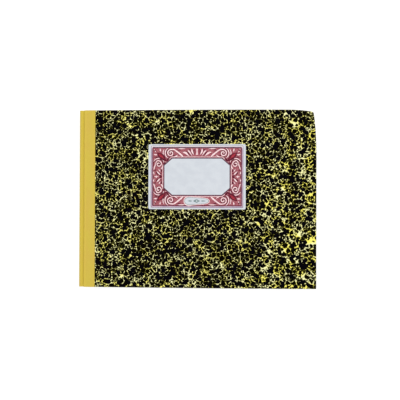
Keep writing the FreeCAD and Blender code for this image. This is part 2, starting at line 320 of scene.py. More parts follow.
def layer(name, node, height, thickness, material, surface, pitch=3.6, **options):
    """One layer of a cover, as large as a node and at a height over the board's inner face."""
    sides = outline_sides(node)
    grid = filled_outline(sides, pitch)
    edge = distance_to(np.concatenate(sides[:3]), grid.reshape(-1, 2))
    lower = raised(grid, surface(grid[..., 0], height))
    upper = raised(grid, surface(grid[..., 0], height + thickness))
    return closed_sheet(name, lower, upper, material, edge, **options)


def rounded_path(points, radii, step=0.12):
    """A polyline with its inner corners rounded to the given radii."""
    points = np.asarray(points, float)
    path = [points[0]]
    for before, corner, after, radius in zip(points, points[1:], points[2:], radii):
        back = (before - corner) / np.linalg.norm(before - corner)
        ahead = (after - corner) / np.linalg.norm(after - corner)
        half = math.acos(back @ ahead) / 2
        inward = (back + ahead) / np.linalg.norm(back + ahead)
        centre = corner + inward * radius / math.sin(half)
        first = corner + back * radius / math.tan(half) - centre
        turn = (2 * half - math.pi) * np.sign(ahead[1] * back[0] - ahead[0] * back[1])
        for angle in np.linspace(0, turn, max(3, round(abs(turn) * radius / step)) + 1):
            c, s = math.cos(angle), math.sin(angle)
            path.append(centre + [first[0] * c - first[1] * s, first[0] * s + first[1] * c])
    path.append(points[-1])
    return np.array(path)


def filled(path, pitch):
    """The same path with more points on its long runs."""
    dense = [path[:1]]
    for start, end in zip(path, path[1:]):
        count = max(1, math.ceil(np.linalg.norm(end - start) / pitch))
        dense.append(start + (end - start) * np.linspace(0, 1, count + 1)[1:, None])
    return np.concatenate(dense)


# Materials


def colour(red, green, blue):
    """A display colour of 0 to 255 as the linear colour that a shader takes."""
    linear = [((c / 255 + 0.055) / 1.055) ** 2.4 if c > 10 else c / 255 / 12.92 for c in (red, green, blue)]
    return (*linear, 1.0)


def put(socket, value):
    """Sets an input, or links it where the value is another node's output."""
    if isinstance(value, bpy.types.NodeSocket):
        socket.id_data.links.new(value, socket)
    else:
        socket.default_value = value


def add_node(tree, kind, values=(), **settings):
    """Adds a shader node with these settings and inputs."""
    node = tree.nodes.new("ShaderNode" + kind)
    for name, value in settings.items():
        setattr(node, name, value)
    for key, value in dict(values).items():
        put(node.inputs[key], value)
    return node


class Paint:
    """A material and short ways to add its nodes. Lengths are in millimetres."""

    def __init__(self, name, roughness=0.7, specular=0.25, sheen=0.0):
        self.material = bpy.data.materials.new(name)
        self.material.use_nodes = True
        self.tree = self.material.node_tree
        self.surface = self.tree.nodes["Principled BSDF"].inputs
        self.surface["Roughness"].default_value = roughness
        self.surface["Specular IOR Level"].default_value = specular
        self.surface["Sheen Weight"].default_value = sheen
        self.flat = self.add("UVMap", uv_map="flat").outputs["UV"]
        place = self.add("TexCoord").outputs["Object"]
        self.place = self.add("VectorMath", {0: place, 3: 1000.0}, operation="SCALE").outputs[0]

    def add(self, kind, values=(), **settings):
        return add_node(self.tree, kind, values, **settings)

    def math(self, operation, a, b=0.0, c=0.0):
        return self.add("Math", {0: a, 1: b, 2: c}, operation=operation).outputs[0]

    def times(self, a, b):
        return self.math("MULTIPLY", a, b)

    def mix(self, share, a, b):
        return self.add("Mix", {0: share, 6: a, 7: b}, data_type="RGBA").outputs[2]

    def step(self, value, low, high, start=0.0, end=1.0):
        """Goes smoothly from start to end as value goes from low to high."""
        values = {0: value, 1: low, 2: high, 3: start, 4: end}
        return self.add("MapRange", values, interpolation_type="SMOOTHSTEP").outputs[0]

    def split(self, where):
        return self.add("SeparateXYZ", {0: where}).outputs

    def moved(self, where, x, y=0.0, z=0.0):
        return self.add("VectorMath", {0: where, 1: (x, y, z)}).outputs[0]

    def stretched(self, where, x, y, z=1.0):
        return self.add("VectorMath", {0: where, 1: (x, y, z)}, operation="MULTIPLY").outputs[0]

    def noise(self, where, size, detail=2.0):
        return self.add("TexNoise", {"Vector": where, "Scale": 1 / size, "Detail": detail}).outputs[0]

    def warped(self, where, size, amount):
        """Coordinates pushed about by noise of a given size."""
        values = {"Vector": where, "Scale": 1 / size, "Detail": 1.0}
        push = self.moved(self.add("TexNoise", values).outputs[1], -0.5, -0.5, -0.5)
        push = self.add("VectorMath", {0: push, 3: amount}, operation="SCALE").outputs[0]
        return self.add("VectorMath", {0: where, 1: push}).outputs[0]

    def cells(self, where, size, feature="DISTANCE_TO_EDGE"):
        return self.add("TexVoronoi", {"Vector": where, "Scale": 1 / size}, feature=feature).outputs[0]

    def wave(self, value, pitch):
        """Goes from 0 to 1 and back over each pitch."""
        angle = self.times(value, 2 * math.pi / pitch)
        return self.math("MULTIPLY_ADD", self.math("SINE", angle), 0.5, 0.5)

    def bump(self, height, depth):
        """Raises the surface by up to depth millimetres where height is 1."""
        values = {"Height": height, "Distance": depth * MM, "Strength": 1.0}
        put(self.surface["Normal"], self.add("Bump", values).outputs[0])

    def done(self, base):
        put(self.surface["Base Color"], base)
        return self.material


DROP_SIZE = 3.5  # between the marbling's black drops
STONE_SIZE = 5.4
WEAR_REACH = 0.22  # of the rubbing, in from a cut edge


def marbled_paper(name):
    """Black drops in a net of yellow veins, which is duller on the spine side."""
    paint = Paint(name, roughness=0.6, specular=0.01)
    around = paint.warped(paint.flat, 2.2, 1.25)
    patches = paint.noise(paint.flat, 11.0)
    across, up = paint.split(paint.flat)[:2]
    slant = paint.math("SUBTRACT", across, paint.times(up, 0.25))
    richness = paint.step(slant, FORE_X - 60, FORE_X - 12)

    # Veins fill what the round drops leave free and run between the drops that meet
    radius = paint.step(patches, 0.34, 0.66, 1.03, 0.90)
    radius = paint.math("MULTIPLY_ADD", richness, -0.14, radius)
    nodes = paint.math("DIVIDE", paint.cells(around, DROP_SIZE, "F1"), radius)
    nodes = paint.step(nodes, 0.97, 1.02)
    width = paint.step(patches, 0.34, 0.66, 0.048, 0.073)
    width = paint.math("MULTIPLY_ADD", richness, 0.028, width)
    lines = paint.step(paint.math("DIVIDE", paint.cells(around, DROP_SIZE), width), 1.15, 0.85)
    veins = paint.math("MAXIMUM", nodes, lines)

    # Blue-black stones, thrown on last, cover the net here and there
    stones = paint.cells(paint.moved(paint.warped(paint.flat, 2.2, 1.0), 5.0, 9.0), STONE_SIZE, "F1")
    stones = paint.step(stones, 0.36, 0.39)
    veins = paint.times(veins, stones)

    # Thin veins let the black through in places, and the yellow varies from cream to lemon
    light = paint.noise(paint.moved(paint.flat, 19.0, 7.0), 1.35, 1.0)
    light = paint.math("MULTIPLY_ADD", paint.math("SUBTRACT", patches, 0.5), 0.3, light)
    light = paint.math("MAXIMUM", paint.step(light, 0.49, 0.56), nodes)
    tint = paint.step(paint.noise(paint.moved(paint.flat, 5.0, 91.0), 9.0), 0.42, 0.60)
    dull = paint.mix(tint, colour(255, 253, 184), colour(252, 243, 126))
    vivid = paint.mix(tint, colour(255, 253, 184), colour(255, 245, 110))
    vein = paint.mix(paint.step(richness, 0.05, 0.8), dull, vivid)
    vein = paint.mix(light, colour(62, 60, 14), vein)
    ground = paint.mix(paint.step(stones, 1.0, 0.0), colour(6, 4, 0), colour(5, 4, 8))
    base = paint.mix(veins, ground, vein)

    # The cut edges are rubbed down to the paper
    edge = paint.add("Attribute", attribute_name="edge").outputs["Fac"]
    rub = paint.math("MULTIPLY_ADD", paint.noise(paint.flat, 1.4, 3.0), 1.6, 0.5)
    worn = paint.step(edge, paint.times(rub, WEAR_REACH), 0.0)
    base = paint.mix(worn, base, colour(172, 165, 140))
    paint.bump(paint.noise(paint.flat, 0.5, 3.0), 0.012)
    return paint.done(base)


def spine_cloth(name):
    """Bright yellow book cloth with a fine weave and warmer patches, deeper in colour along
    the joint, with a painted highlight that makes it lighter where it turns over the board."""
    paint = Paint(name, roughness=0.75, specular=0.25, sheen=0.06)
    across, along = paint.split(paint.flat)[:2]
    weave = paint.times(paint.wave(across, 0.42), paint.wave(along, 0.42))
    slubs = paint.noise(paint.stretched(paint.flat, 3.0, 0.6), 1.1)
    warm = paint.step(paint.noise(paint.stretched(paint.flat, 1.0, 0.45), 9.0), 0.42, 0.66)
    base = paint.mix(warm, colour(211, 188, 70), colour(212, 182, 75))
    base = paint.mix(paint.step(slubs, 0.35, 0.65, 0.0, 0.5), base, colour(205, 176, 62))
    past = paint.math("SUBTRACT", paint.math("ABSOLUTE", across), SLOPE_RUN)
    joint = paint.times(paint.step(past, -3.4, -0.6), paint.step(past, 1.7, 0.9, 0.0, 0.65))
    base = paint.mix(joint, base, colour(215, 188, 55))
    # Painted highlight: the cloth is painted lighter just past the slope, where the board's edge catches
    # the light
    painted_highlight = paint.times(paint.step(past, 1.1, 1.7), paint.step(past, 3.4, 2.2, 0.0, 0.4))
    base = paint.mix(painted_highlight, base, colour(224, 194, 72))
    base = paint.mix(paint.times(weave, 0.25), base, colour(236, 216, 112))
    paint.bump(paint.math("ADD", weave, paint.times(slubs, 0.6)), 0.035)
    return paint.done(base)


def greyboard(name):
    """Dense grey-brown board made of pulp layers that show at its cut edges."""
    paint = Paint(name, roughness=0.9, specular=0.15)
    layers = paint.noise(paint.stretched(paint.place, 0.12, 0.12, 3.0), 0.5, 3.0)
    specks = paint.noise(paint.place, 0.35, 4.0)
    base = paint.mix(paint.step(layers, 0.35, 0.65), colour(140, 128, 108), colour(176, 165, 143))
    base = paint.mix(paint.step(specks, 0.58, 0.7), base, colour(105, 94, 80))
    paint.bump(paint.math("ADD", layers, specks), 0.06)
    return paint.done(base)


def leaf_edges(name):
    """Writing paper, seen mostly as the cut edges of many leaves."""
    paint = Paint(name, roughness=0.85, specular=0.2)
    leaves = paint.noise(paint.stretched(paint.place, 0.02, 0.02, 6.0), 0.55)
    toning = paint.noise(paint.place, 18.0)
    base = paint.mix(paint.step(leaves, 0.3, 0.7), colour(226, 220, 204), colour(245, 242, 233))
    base = paint.mix(paint.step(toning, 0.4, 0.75, 0.0, 0.4), base, colour(232, 222, 198))
    paint.bump(leaves, 0.02)
    return paint.done(base)


def plain_paper(name, light, dark, flecks):
    """Smooth paper with a soft cloudy tone and small fibres."""
    paint = Paint(name, roughness=0.75, specular=0.2)
    clouds = paint.noise(paint.place, 7.0, 3.0)
    fibres = paint.noise(paint.stretched(paint.place, 1.0, 3.0), 0.8, 3.0)
    base = paint.mix(paint.step(clouds, 0.35, 0.65), light, dark)
    base = paint.mix(paint.step(fibres, 0.6, 0.72, 0.0, 0.4), base, flecks)
    paint.bump(fibres, 0.01)
    return paint.done(base)


def printed(name, full, faded):
    """Ink on paper, a little uneven."""
    paint = Paint(name, roughness=0.6, specular=0.2)
    uneven = paint.noise(paint.place, 1.2, 3.0)
    paint.bump(paint.noise(paint.place, 0.4), 0.006)
    return paint.done(paint.mix(paint.step(uneven, 0.38, 0.66), full, faded))


def violet_wash(name):
    """The thin wash round the print, which pales towards the head."""
    paint = Paint(name, roughness=0.6, specular=0.2)
    height = paint.step(paint.split(paint.place)[1], label_high[1] - 5, label_high[1] - 2)
    uneven = paint.step(paint.noise(paint.place, 5.0), 0.35, 0.65)
    base = paint.mix(uneven, colour(176, 150, 172), colour(204, 172, 190))
    return paint.done(paint.mix(height, base, colour(238, 224, 230)))


def lining_paper(name):
    """Open gauze glued over the backs of the sections."""
    paint = Paint(name, roughness=0.9, specular=0.15)
    across, along = paint.split(paint.place)[1:]
    gauze = paint.math("MAXIMUM", paint.wave(across, 0.9), paint.wave(along, 0.9))
    base = paint.mix(paint.step(gauze, 0.6, 0.95), colour(196, 180, 150), colour(228, 220, 200))
    paint.bump(gauze, 0.05)
    return paint.done(base)


def linen_thread(name):
    """Twisted and waxed sewing thread."""
    paint = Paint(name, roughness=0.55, specular=0.35, sheen=0.1)
    along = paint.math("ADD", *paint.split(paint.place)[1:])
    twist = paint.wave(along, 0.35)
    base = paint.mix(twist, colour(226, 218, 198), colour(190, 178, 150))
    paint.bump(twist, 0.04)
    return paint.done(base)


MARBLED = marbled_paper("marbled_paper")
CLOTH = spine_cloth("yellow_spine_cloth")
BOARD = greyboard("greyboard")
LEAVES = leaf_edges("leaf_paper")
ENDPAPER = plain_paper("endpaper", colour(233, 229, 216), colour(226, 220, 203), colour(205, 196, 172))
LABEL = plain_paper("label_paper", colour(214, 219, 225), colour(208, 213, 220), colour(222, 212, 216))
INK_ROSE = printed("ink_rose", colour(154, 77, 89), colour(178, 109, 116))
INK_RED = printed("ink_red", colour(148, 22, 42), colour(172, 54, 66))
INK_DEEP = printed("ink_deep_red", colour(78, 10, 32), colour(112, 24, 46))
INK_SHADE = printed("ink_shade", colour(112, 38, 58), colour(146, 74, 90))
INK_PALE = printed("ink_pale_rose", colour(244, 204, 208), colour(255, 232, 230))
INK_LINE = printed("ink_dark_violet", colour(80, 48, 68), colour(108, 80, 94))
INK_GREY = printed("ink_grey_violet", colour(126, 116, 128), colour(152, 142, 150))
INK_GREEN = printed("ink_grey_green", colour(112, 132, 134), colour(146, 162, 162))
INK_WASH = violet_wash("ink_violet_wash")


# The book block

KETTLE_Y = (HEAD_Y - TAIL_Y) / 2 - 12.0
KERF_HALF_WIDTH = 0.70
KERF_DEPTH = 1.12
BACK_ROUNDING = 0.20
LEAF_FACES = (0.14, 0.86)  # of a leaf's share of the height
CUT_DEPTHS = (0.005, 0.055)  # by which the leaves fall short of the trimmed edge
SECTION_SHIFT = 0.06
CUT_WAVER = 0.018


def back_of_leaf(z):
    """x of the sections' folded backs at height z."""
    section = SPINE_CHORD / SECTION_COUNT
    place = (z - PAGES_LOW) / section % 1
    bulge = math.sqrt(SPINE_RADIUS**2 - (z - MIDDLE_Z) ** 2)
    return SPINE_CENTRE_X - bulge + BACK_ROUNDING * (2 * place - 1) ** 2


def leaf_outline():
    """A leaf's points against the clock, which of them lie on its back, and its inward ways."""
    cuts = [resampled(side, spaced(np.ptp(side, 0).max(), 3.4)) for side in outline_sides("pages")[:3]]
    notches = [y * KETTLE_Y + k * KERF_HALF_WIDTH for y in (-1, 1) for k in (-1, -0.98, 0.98, 1)]
    back_y = np.sort(np.concatenate([np.linspace(TAIL_Y, HEAD_Y, 44)[1:-1], notches]))[::-1]
    back = np.column_stack([np.full(len(back_y), pages_low[0]), back_y])
    ring = np.concatenate([cuts[0][:-1], cuts[1][:-1], cuts[2], back])
    inward = left_of(np.roll(ring, -1, 0) - np.roll(ring, 1, 0))
    on_back = ring[:, 0] < pages_low[0] + 2
    return ring, on_back, inward


def leaf_block():
    """A hundred leaves in ten sewn sections, none of which was cut quite like the next."""
    ring, on_back, inward = leaf_outline()
    in_kerf = on_back & (np.abs(np.abs(ring[:, 1]) - KETTLE_Y) < 0.99 * KERF_HALF_WIDTH)
    chance = np.random.default_rng(11)
    depths = chance.uniform(*CUT_DEPTHS, LEAF_COUNT)
    shifts = np.repeat(chance.uniform(0.0, SECTION_SHIFT, SECTION_COUNT), LEAF_COUNT // SECTION_COUNT)
    heights = PAGES_LOW + (np.arange(LEAF_COUNT)[:, None] + LEAF_FACES) * (SPINE_CHORD / LEAF_COUNT)
    heights[0, 0], heights[-1, -1] = PAGES_LOW, PAGES_HIGH
    points = []
    for k in range(LEAF_COUNT):
        waver = CUT_WAVER * (1 + ripple(ring[:, 0] + 13 * k, ring[:, 1] - 7 * k, 60.0, k % 7))
        depth = np.where(on_back, 0.0, depths[k] + shifts[k] + waver)
        for z in heights[k]:
            flat = ring + inward * depth[:, None]
            flat[on_back, 0] = back_of_leaf(np.clip(z, PAGES_LOW + 0.01, PAGES_HIGH - 0.01))
            flat[in_kerf, 0] += KERF_DEPTH
            points.append(np.column_stack([flat, np.full(len(flat), z)]))
    rings = np.arange(len(points) * len(ring)).reshape(len(points), -1)
    faces = [face for below, above in zip(rings, rings[1:]) for face in ring_faces(below, above)]
    faces += [rings[0, ::-1], rings[-1]]
    block = new_piece("leaf_block", np.concatenate(points), faces, LEAVES)
    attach(block, "book_block")
    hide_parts("pages")


leaf_block()

# Endpapers: a flyleaf on the block, and a pastedown that folds out of it onto the board

FLYLEAF_TOP = PAGES_HIGH + ENDPAPER_THICKNESS
FLYLEAF_GAP = 0.002
FLYLEAF_WAVE = 0.012


def flyleaf(side, flip):
    """The half of an endpaper that lies on the block, with a slight wave in its outer face."""
    grid = filled_outline(starting_at(outline_sides("pages"), SHOULDER_X))
    lift = FLYLEAF_WAVE * (ripple(grid[..., 0], grid[..., 1], 55.0, 21 + flip) - 1)
    lower = raised(grid, PAGES_HIGH + FLYLEAF_GAP)
    upper = raised(grid, FLYLEAF_TOP - FLYLEAF_GAP + lift)
    piece = closed_sheet(side + "_flyleaf", lower, upper, ENDPAPER, rim=[(0.5, 0.03)], flip=flip)
    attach(piece, "book_block")
    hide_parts(side + "_endpaper")


def pastedown(side, surface, flip):
    """The half that is pasted to a board, from the fold at the shoulder to the fore-edge."""
    grid = filled_outline(starting_at(outline_sides("pages"), BOARD_X))
    lower = raised(grid, surface(grid[..., 0], -PASTE - ENDPAPER_THICKNESS))
    upper = raised(grid, surface(grid[..., 0], -PASTE))

    fold_z = FLYLEAF_TOP + FOLD_GAP / 2
    turns = np.radians(np.linspace(-90, -270, 11))
    columns = []
    for radius in (FOLD_GAP / 2, FOLD_GAP / 2 + ENDPAPER_THICKNESS):
        x = SHOULDER_X + radius * np.cos(turns)
        z = fold_z + radius * np.sin(turns)
        run = np.concatenate([BEND_X, np.linspace(BEND_X[-1], BOARD_X, 9)[1:-1]])
        level = fold_z + np.sign(z[-1] - fold_z) * radius
        x, z = np.concatenate([x, run]), np.concatenate([z, np.full(len(run), level)])
        columns.append(np.dstack(np.broadcast_arrays(x, grid[:, :1, 1], z)))
    lower = np.concatenate([columns[0], lower], 1)
    upper = np.concatenate([columns[1], upper], 1)
    piece = closed_sheet(side + "_pastedown", lower, upper, ENDPAPER, rim=[(0.5, 0.02)], flip=flip)
    turn(piece, side + "_cover")
    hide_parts(side + "_endpaper")


def turn(piece, cover):
    """Bakes a piece's placement into its mesh; the cover it is given is not used."""
    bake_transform(piece)


flyleaf("front", False)
flyleaf("back", True)
pastedown("front", front_z, False)
pastedown("back", flat_z, True)

# Covers

BOARD_RIM = [(0.06, 0.0), (0.3, 0.02), (0.5, 0.05), (0.72, 0.02), (0.94, 0.0)]
PAPER_RIM = [(0.5, 0.02)]


def cover(side, surface, flip):
    """A board cut from layered pulp and the marbled paper pasted on it."""
    for name, node, height, thickness, material, rim, roughness in (
        ("_greyboard", "_board", 0.0, BOARD_THICKNESS, BOARD, BOARD_RIM, 0.05),
        ("_marbled_paper", "_cover_paper", PAPER_HEIGHT, PAPER_THICKNESS, MARBLED, PAPER_RIM, 0.03),
    ):
        options = {"rim": rim, "roughness": roughness, "flip": flip}
        piece = layer(side + name, side + node, height, thickness, material, surface, **options)
        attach(piece, side + "_cover")
        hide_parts(side + node)


cover("front", front_z, False)
cover("back", flat_z, True)

# The spine cloth, in two halves that meet in the middle of the back

CLOTH_PITCH = 0.45  # longest step along the cloth's path


def cloth_path(surface):
    """The cloth's inner face from the middle of the back to its edge on a cover."""
    back = np.linspace(0, SHOULDER_TURN, 22)
    back = np.column_stack([-np.cos(back), np.sin(back)]) * CLOTH_RADIUS + [SPINE_CENTRE_X, MIDDLE_Z]
    shoulder = np.linspace(SHOULDER_TURN, math.pi / 2, 12)[1:]
    shoulder = np.column_stack([-np.cos(shoulder), np.sin(shoulder)]) * SHOULDER_RADIUS
    shoulder = shoulder + [SHOULDER_X, SHOULDER_Z]
    points = [
        (SHOULDER_X, JOINT_FLOOR),
        (BOARD_X - SLOPE_FOOT_REACH, JOINT_FLOOR),
        (BOARD_X - SLOPE_TOP_REACH, float(surface(BOARD_X, OUTER_HEIGHT))),
        (CLOTH_EDGE_X, float(surface(CLOTH_EDGE_X, OUTER_HEIGHT))),
    ]
    onward = rounded_path(points, [JOINT_RADIUS, SLOPE_TOP_RADIUS])
    bend = np.column_stack([BEND_X, np.full(BEND_COLUMNS, JOINT_FLOOR)])
    return filled(np.concatenate([back, shoulder, bend, onward[1:]]), CLOTH_PITCH)


def half_cloth(side, surface, flip):
    """A strip of cloth along the book, which follows the path and is thickened to its left."""
    path = cloth_path(surface)
    outer = path + CLOTH_THICKNESS * left_of(np.gradient(path, axis=0))
    lengths = np.linalg.norm(np.diff(path, axis=0), axis=1)
    run = np.concatenate([[0], np.cumsum(lengths)]) * (-1 if flip else 1)
    ys = np.linspace(TAIL_Y, HEAD_Y, 90)
    grids = [np.dstack(np.broadcast_arrays(face[:, :1], ys, face[:, 1:])) for face in (outer, path)]
    uv = np.dstack(np.broadcast_arrays(run[:, None], ys)).reshape(-1, 2)
    name = f"spine_cloth_{side}_half"
    piece = closed_sheet(name, *grids, CLOTH, uv=np.tile(uv, (2, 1)), flip=flip)
    turn(piece, side + "_cover")
    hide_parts("spine_cloth")


half_cloth("front", front_z, False)
half_cloth("back", flat_z, True)

for node, material in (("spine_lining", lining_paper), ("sewing_thread", linen_thread)):
    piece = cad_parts[node]
    piece.data.materials.clear()
    piece.data.materials.append(material(node + "_finish"))

# The title label and its printed frame. Lengths are from the label's centre, in millimetres.

LABEL_X, LABEL_Y = (label_low[:2] + label_high[:2]) / 2
SLIP_THICKNESS = 0.080
INK_BED = 0.076  # undersides of the ink, just inside the paper
INK_LEVEL = 0.0018  # step between strips of one ink that cross
INK_CLEARANCE = 0.4  # strips nearer to each other than this have different levels
RING_PITCH = 2.0  # longest step along the side of a ring
INK_TOPS = {  # from the face that the label is pasted on, as the bed is
    "print_field": 0.0830,
    "print_wash": 0.0830,
    "print_outline": 0.0840,
    "print_shading": 0.0855,
    "print_scrolls": 0.0935,
    "print_accents": 0.1015,
    "print_panel_line": 0.1095,
    "print_leaf_veins": 0.1095,
    "print_plaque_edge": 0.1120,
    "print_plaque_outline": 0.1135,
    "print_plaque": 0.1150,
    "print_lozenge": 0.1165,
}


def title_slip():
    """The label's paper."""
    slip = layer("title_slip", "title_label", OUTER_HEIGHT, SLIP_THICKNESS, LABEL, front_z, pitch=2.4)
    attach(slip, "front_cover")
    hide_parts("title_label")
    return slip


SLIP = title_slip()


def curve(points, steps=7):
    """A smooth line through the points."""
    points = np.asarray(points, float)
    padded = np.concatenate([2 * points[:1] - points[1:2], points, 2 * points[-1:] - points[-2:-1]])
    t = np.linspace(0, 1, steps, endpoint=False)[:, None]
    runs = []
    for a, b, c, d in zip(padded, padded[1:], padded[2:], padded[3:]):
        cubic = (-a + 3 * b - 3 * c + d) * t**3 + (2 * a - 5 * b + 4 * c - d) * t**2
        runs.append((cubic + (c - a) * t + 2 * b) / 2)
    return np.concatenate([*runs, points[-1:]])


def spiral(centre, turns, first, last, start=0.0, steps=44):
    """A spiral that leaves its centre at an angle and ends at another radius."""
    angle = np.radians(start) + np.linspace(0, turns * 2 * math.pi, steps)
    radius = np.linspace(first, last, steps)
    return np.array(centre) + np.column_stack([np.cos(angle), np.sin(angle)]) * radius[:, None]


def swelling(path, width, tip=0.12, belly=0.5):
    """Widths of a stroke that is thin at both ends and full at its belly."""
    t = np.linspace(0, 1, len(path)) ** (math.log(0.5) / math.log(belly))
    return tip + (width - tip) * np.sin(math.pi * t)


class Ink:
    """One colour of the print, laid on the label as thin closed strokes."""

    def __init__(self, name, material):
        self.name, self.material, self.top = name, material, INK_TOPS[name]
        self.points, self.faces, self.count, self.drawn = [], [], 0, []

    def free_level(self, middle, reach):
        """The lowest level that no strip drawn close by has, so that no two lie in one plane."""
        taken = set()
        for other, other_reach, level in self.drawn:
            gap = np.linalg.norm(middle[:, None] - other[None], axis=2).min()
            if gap < reach + other_reach + INK_CLEARANCE:
                taken.add(level)
        return min(set(range(len(taken) + 1)) - taken)

    def strip(self, lines, closed=False):
        """Fills between lines with equal numbers of points, listed from left to right."""
        n = len(lines[0])
        middle = (lines[0] + lines[-1]) / 2
        reach = np.linalg.norm(lines[0] - lines[-1], axis=1).max() / 2
        level = self.free_level(middle, reach)
        self.drawn.append((middle, reach, level))
        for height in (INK_BED, self.top + level * INK_LEVEL):
            for line in lines:
                x, y = LABEL_X + line[:, 0], LABEL_Y + line[:, 1]
                self.points.append(np.column_stack([x, y, front_z(x, OUTER_HEIGHT + height)]))
        below = [self.count + k * n for k in range(len(lines))]
        above = [first + len(lines) * n for first in below]
        around = below + above[::-1]
        for a, b in zip(around, around[1:] + around[:1]):
            for i in range(n if closed else n - 1):
                j = (i + 1) % n
                self.faces.append((a + i, a + j, b + j, b + i))
        if not closed:
            self.faces.append(tuple(around))
            self.faces.append(tuple(first + n - 1 for first in around[::-1]))
        self.count += 2 * len(lines) * n

    def stroke(self, path, width, mirrors=((1, 1),)):
        """Draws a path at a width, or at a width for each point, in each mirrored place."""
        for mirror in mirrors:
            line = np.asarray(path) * mirror
            half = np.broadcast_to(np.asarray(width) / 2, len(line))[:, None]
            half = half * left_of(np.gradient(line, axis=0))
            self.strip([line + half, line - half])

    def ring(self, inner, outer, rows=2):
        """Fills between two outlines with as many corners, which go against the clock."""
        lines = [[] for row in range(rows)]
        for k in range(len(outer)):
            n = (k + 1) % len(outer)
            longest = max(np.linalg.norm(ring[n] - ring[k]) for ring in (inner, outer))
            t = np.linspace(0, 1, math.ceil(longest / RING_PITCH), endpoint=False)[:, None]
            for line, share in zip(lines, np.linspace(0, 1, rows)):
                ring = inner + (outer - inner) * share
                line.append(ring[k] + (ring[n] - ring[k]) * t)
        self.strip([np.concatenate(line) for line in lines], closed=True)

    def done(self):
        """Makes the piece, which is the slip's child."""
        piece = new_piece(self.name, np.concatenate(self.points), self.faces, self.material)
        piece.parent = SLIP


def inset(corners, depth):
    """The corners of an outline moved inward by a depth, or outward by a negative one."""
    corners = np.asarray(corners, float)
    before = corners - np.roll(corners, 1, 0)
    after = np.roll(corners, -1, 0) - corners
    before /= np.linalg.norm(before, axis=1)[:, None]
    after /= np.linalg.norm(after, axis=1)[:, None]
    turn = before[:, 0] * after[:, 1] - before[:, 1] * after[:, 0]
    along = after - before
    return corners + along * (depth / turn)[:, None]


def clipped_box(half_width, half_height, clip_x, clip_y):
    """Corners of a box with its four corners cut off, against the clock."""
    w, h, x, y = half_width, half_height, half_width - clip_x, half_height - clip_y
    return np.array([(w, y), (x, h), (-x, h), (-w, y), (-w, -y), (-x, -h), (x, -h), (w, -y)])


OUTLINE = clipped_box(40.2, 27.0, 0.5, 0.5)
FIELD = clipped_box(38.9, 25.5, 0.4, 0.4)
PANEL = clipped_box(28.3, 15.7, 6.8, 6.0)
PANEL_BORDER = inset(PANEL, -0.9)
WASH_EDGE = inset(OUTLINE, 0.45)
PLAQUE_CENTRE = np.array([-0.2, -21.1])
PLAQUE_HALF_SIZE = np.array([10.2, 3.1])
PLAQUE_HUB = 0.004  # share of the outline at which its fill starts
QUARTERS = ((1, 1), (-1, 1), (-1, -1), (1, -1))
SIDES = ((1, 1), (-1, 1))
UPPER_COIL = (22.8, 20.5)
LOWER_COIL = (33.4, 11.0)


def arc(centre, radius, first, last, steps=12):
    angles = np.radians(np.linspace(first, last, steps))
    return np.array(centre) + radius * np.column_stack([np.cos(angles), np.sin(angles)])


def print_field():
    """The rose field round the blank panel, the wash round it and their lines."""
    field = Ink("print_field", INK_ROSE)
    field.ring(PANEL_BORDER, FIELD, rows=7)
    field.done()
    wash = Ink("print_wash", INK_WASH)
    wash.ring(FIELD, WASH_EDGE)
    wash.done()
    grey = Ink("print_outline", INK_GREY)
    grey.ring(WASH_EDGE, OUTLINE)
    grey.done()
    dark = Ink("print_panel_line", INK_LINE)
    dark.ring(PANEL, PANEL_BORDER)
    dark.stroke(np.linspace((-38.7, 25.4), (38.7, 25.4), 78), 0.9)
    dark.done()


